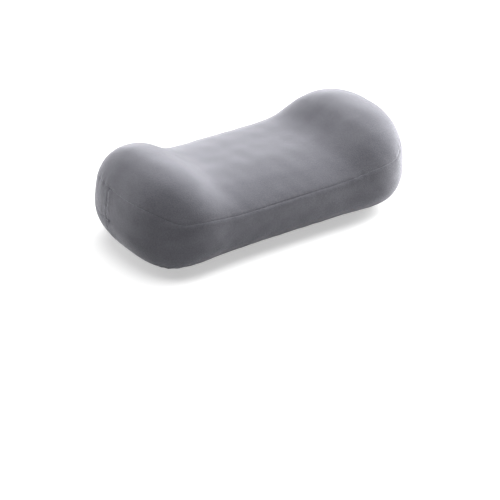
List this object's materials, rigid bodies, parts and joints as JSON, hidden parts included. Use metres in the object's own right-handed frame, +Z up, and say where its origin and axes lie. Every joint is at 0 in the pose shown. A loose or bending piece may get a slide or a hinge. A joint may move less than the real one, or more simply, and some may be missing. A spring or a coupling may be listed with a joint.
{
  "type": "cervical traction pillow",
  "caption": "Bone-shaped neck traction pillow: two raised lobes, a lower saddle, a foam core, an inner liner and a zipped velour cover.",
  "frame": {"origin": "centre of the flat underside the pillow rests on", "axes": "+X along the pillow from one lobe to the other, -Y the front, +Y the back with the zip, +Z up"},
  "size_m": [0.36, 0.1755, 0.1134],
  "materials": {
    "cover_fabric": "short-pile velour knit",
    "cover_thread": "spun polyester sewing thread",
    "foam": "open-cell slow-recovery foam, matt",
    "liner_fabric": "plain white knit",
    "liner_thread": "spun polyester sewing thread",
    "label_ribbon": "satin ribbon, blank",
    "zip_tape": "woven herringbone tape",
    "zip_coil": "polyester monofilament",
    "zip_stop_metal": "plain",
    "slider_metal": "dyed to match the cover"
  },
  "bodies": {
    "pillow": {"foam_core": "foam", "cover_top_panel": "cover_fabric", "cover_front_band": "cover_fabric", "cover_back_band_upper": "cover_fabric", "cover_back_band_lower": "cover_fabric", "cover_base_panel": "cover_fabric", "top_seam_thread": "cover_thread", "base_seam_thread": "cover_thread", "end_seam_threads": "cover_thread", "zip_line_seam_threads": "cover_thread", "liner_upper_panel": "liner_fabric", "liner_lower_panel": "liner_fabric", "liner_seam_thread": "liner_thread", "care_label": "label_ribbon", "zip_tape_upper": "zip_tape", "zip_tape_lower": "zip_tape", "zip_coil_upper": "zip_coil", "zip_coil_lower": "zip_coil", "zip_top_stops": "zip_stop_metal", "zip_bottom_stop": "zip_stop_metal", "zip_bartacks": "cover_thread", "zip_topstitching": "cover_thread"},
    "zip_slider": {"zip_slider_body": "slider_metal"},
    "pull_tab": {"zip_pull_tab": "slider_metal"}
  },
  "joints": [
    {"name": "zip_slide", "type": "slide", "parent": "pillow", "child": "zip_slider", "axis": [1, 0, 0], "range_m": [0, 0.204], "deforming": ["zip_coil_upper", "zip_coil_lower"]},
    {"name": "pull_tab_hinge", "type": "hinge", "parent": "zip_slider", "child": "pull_tab", "pos_m": [-0.104, 0.08615, 0.0475], "axis": [0, 0, 1], "range_deg": [0, 180]}
  ]
}
